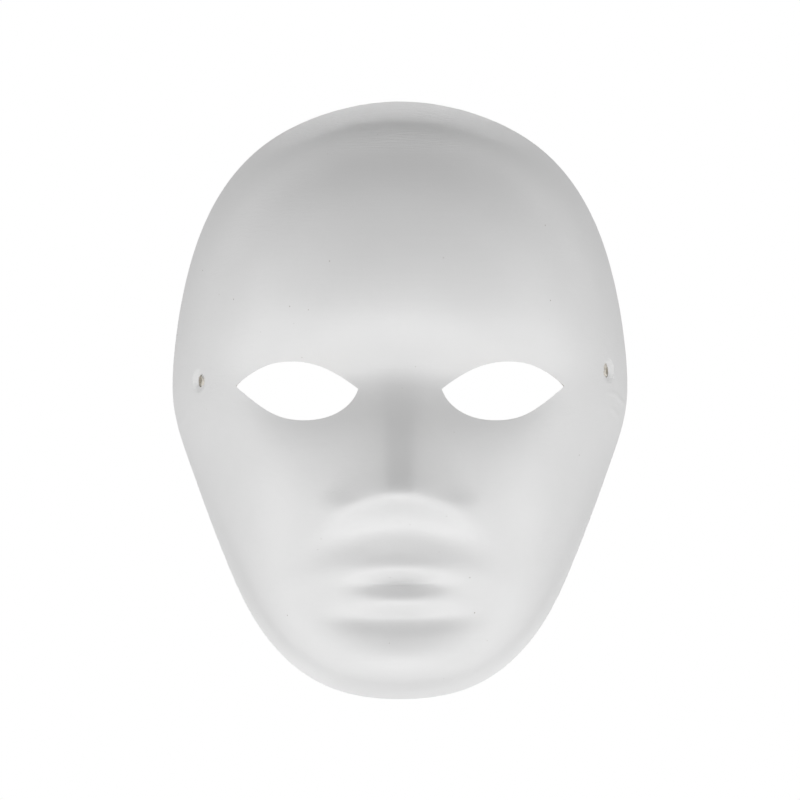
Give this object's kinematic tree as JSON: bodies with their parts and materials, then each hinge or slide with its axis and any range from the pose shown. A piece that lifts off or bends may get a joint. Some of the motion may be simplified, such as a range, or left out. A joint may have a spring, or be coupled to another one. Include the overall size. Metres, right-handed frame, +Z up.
{
  "type": "full-face masquerade mask",
  "caption": "Plain white full-face costume mask of layered paper, with almond eye openings, a closed mouth and strap holes at the temples.",
  "frame": {"origin": "middle of the rim plane, where the wearer's face comes in", "axes": "+Z up as worn, the face looks along -Y, +X towards the wearer's left"},
  "size_m": [0.182, 0.0968, 0.2391],
  "materials": {
    "white_primer": "satin",
    "outer_paper": "matte",
    "inner_paper": "matte"
  },
  "bodies": {
    "root": {"primer_coat": "white_primer", "outer_paper_layer": "outer_paper", "inner_paper_layer": "inner_paper"}
  },
  "joints": []
}
